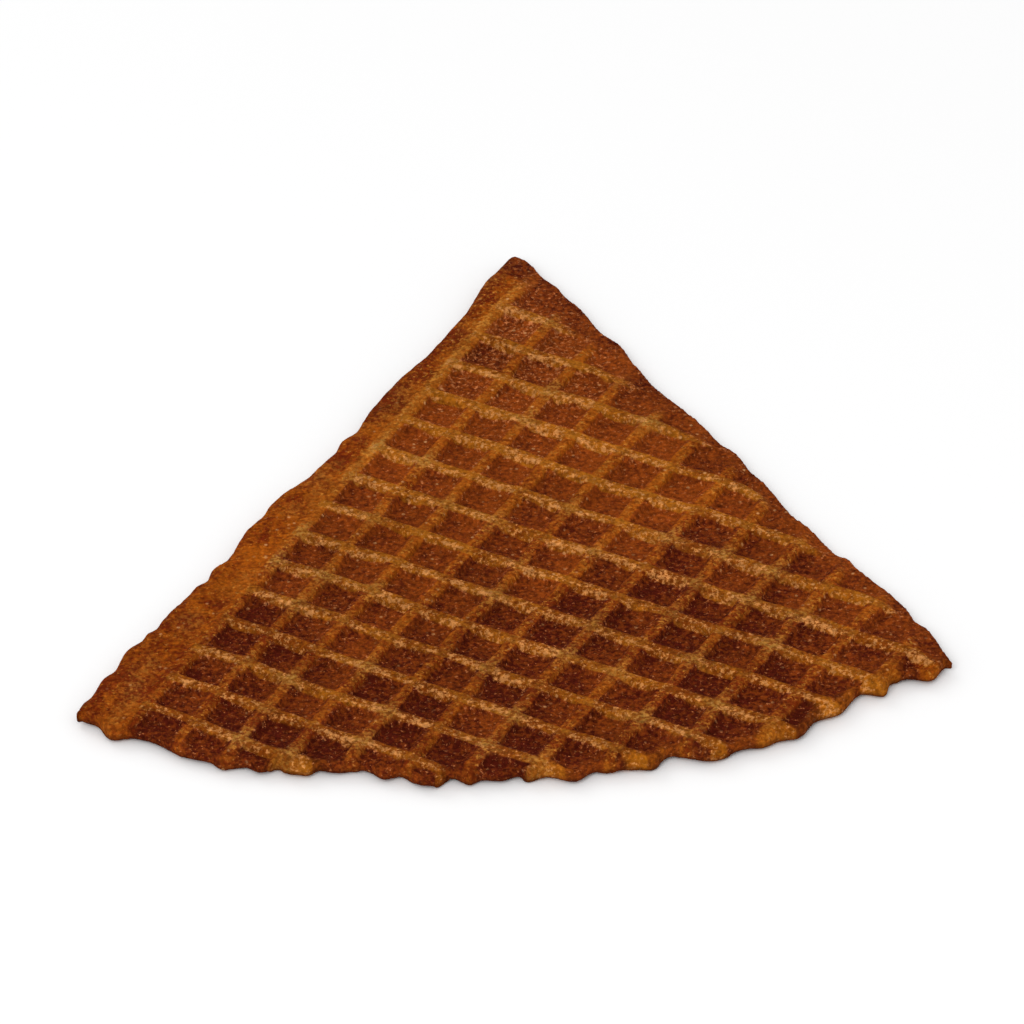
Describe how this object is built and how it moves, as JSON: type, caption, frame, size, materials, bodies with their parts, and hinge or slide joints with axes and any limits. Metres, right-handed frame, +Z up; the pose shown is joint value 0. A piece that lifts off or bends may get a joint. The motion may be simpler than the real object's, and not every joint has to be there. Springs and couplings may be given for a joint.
{
  "type": "fan wafer",
  "caption": "Fan-shaped sugar wafer: a thin, crisp sector with a square grid of ridges and pockets on both faces, a plain left border and a lobed free edge.",
  "frame": {"origin": "middle of the bounding box, on the plane that the wafer rests on", "axes": "+Z up through the thickness, +Y towards the tip of the fan, +X towards the side that cuts across the grid"},
  "size_m": [0.0934, 0.0966, 0.0023],
  "materials": {
    "baked_wafer": "dry, matt, golden-brown baked crust with fine pores"
  },
  "bodies": {
    "root": {"wafer": "baked_wafer"}
  },
  "joints": []
}
